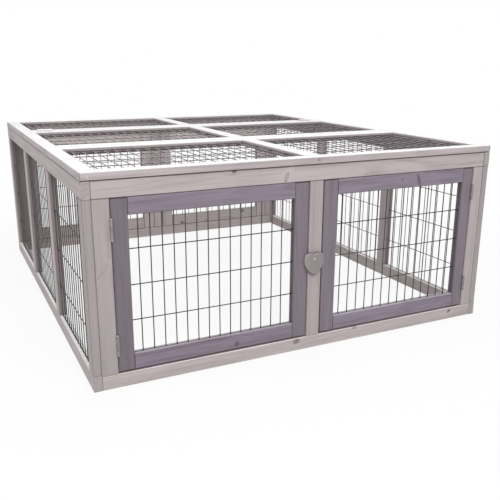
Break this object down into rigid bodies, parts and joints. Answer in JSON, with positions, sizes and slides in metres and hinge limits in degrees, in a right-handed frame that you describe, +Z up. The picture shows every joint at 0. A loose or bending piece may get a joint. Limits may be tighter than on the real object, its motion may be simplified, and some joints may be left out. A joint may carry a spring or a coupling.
{
  "type": "small animal run",
  "caption": "Low rectangular outdoor run with framed wire mesh walls, a hinged mesh lid, two mesh doors and a heart-shaped turn button.",
  "frame": {"origin": "middle of the whole part's outline, on the ground", "axes": "+Z up, -Y towards the doors, +X to the right as seen from the doors"},
  "size_m": [1.03, 1.1834, 0.4602],
  "materials": {
    "wall_wood": "satin",
    "roof_wood": "satin",
    "door_wood": "satin",
    "wire": "satin",
    "zinc": "satin",
    "button_paint": "satin"
  },
  "bodies": {
    "base": {"left_top_rail": "wall_wood", "left_bottom_rail": "wall_wood", "left_stiles": "wall_wood", "left_nets": "wire", "right_top_rail": "wall_wood", "right_bottom_rail": "wall_wood", "right_stiles": "wall_wood", "right_nets": "wire", "front_top_rail": "wall_wood", "front_bottom_rail": "wall_wood", "front_left_stile": "wall_wood", "front_centre_stile": "wall_wood", "front_right_stile": "wall_wood", "rear_top_rail": "wall_wood", "rear_bottom_rail": "wall_wood", "rear_stiles": "wall_wood", "rear_left_panel_rails": "wall_wood", "rear_left_panel_stiles": "wall_wood", "rear_left_net": "wire", "rear_right_panel_rails": "wall_wood", "rear_right_panel_stiles": "wall_wood", "rear_right_net": "wire", "roof_side_rails": "roof_wood", "roof_front_rail": "roof_wood", "roof_rear_rail": "roof_wood", "roof_divider": "roof_wood", "roof_nets": "wire", "left_hinge_frame_leaves": "zinc", "left_hinge_pins": "zinc", "right_hinge_frame_leaves": "zinc", "right_hinge_pins": "zinc", "lid_hinge_roof_leaves": "zinc", "lid_hinge_pins": "zinc", "turn_button_screw": "zinc"},
    "lid": {"lid_front_rail": "roof_wood", "lid_left_corner_rail": "roof_wood", "lid_left_rails": "roof_wood", "lid_right_rails": "roof_wood", "lid_middle_front_rail": "roof_wood", "lid_middle_back_rail": "roof_wood", "lid_rear_rail": "roof_wood", "lid_dividers": "roof_wood", "lid_front_nets": "wire", "lid_back_nets": "wire", "lid_hinge_lid_leaves": "zinc"},
    "left_door": {"left_door_stiles": "door_wood", "left_door_top_rail": "door_wood", "left_door_bottom_rail": "door_wood", "left_door_net": "wire", "left_hinge_door_leaves": "zinc"},
    "right_door": {"right_door_stiles": "door_wood", "right_door_top_rail": "door_wood", "right_door_bottom_rail": "door_wood", "right_door_net": "wire", "right_hinge_door_leaves": "zinc"},
    "button": {"turn_button": "button_paint"}
  },
  "joints": [
    {"name": "lid_hinge", "type": "hinge", "parent": "base", "child": "lid", "pos_m": [0, 0.22833, 0.4572], "axis": [-1, 0, 0], "range_deg": [0, 180]},
    {"name": "left_door_hinge", "type": "hinge", "parent": "base", "child": "left_door", "pos_m": [-0.4607, -0.58355, 0.21825], "axis": [0, 0, -1], "range_deg": [0, 180]},
    {"name": "right_door_hinge", "type": "hinge", "parent": "base", "child": "right_door", "pos_m": [0.4647, -0.58355, 0.21825], "axis": [0, 0, 1], "range_deg": [0, 180]},
    {"name": "button_turn", "type": "hinge", "parent": "base", "child": "button", "pos_m": [0.0005, -0.58035, 0.222], "axis": [0, 1, 0], "continuous": true}
  ]
}
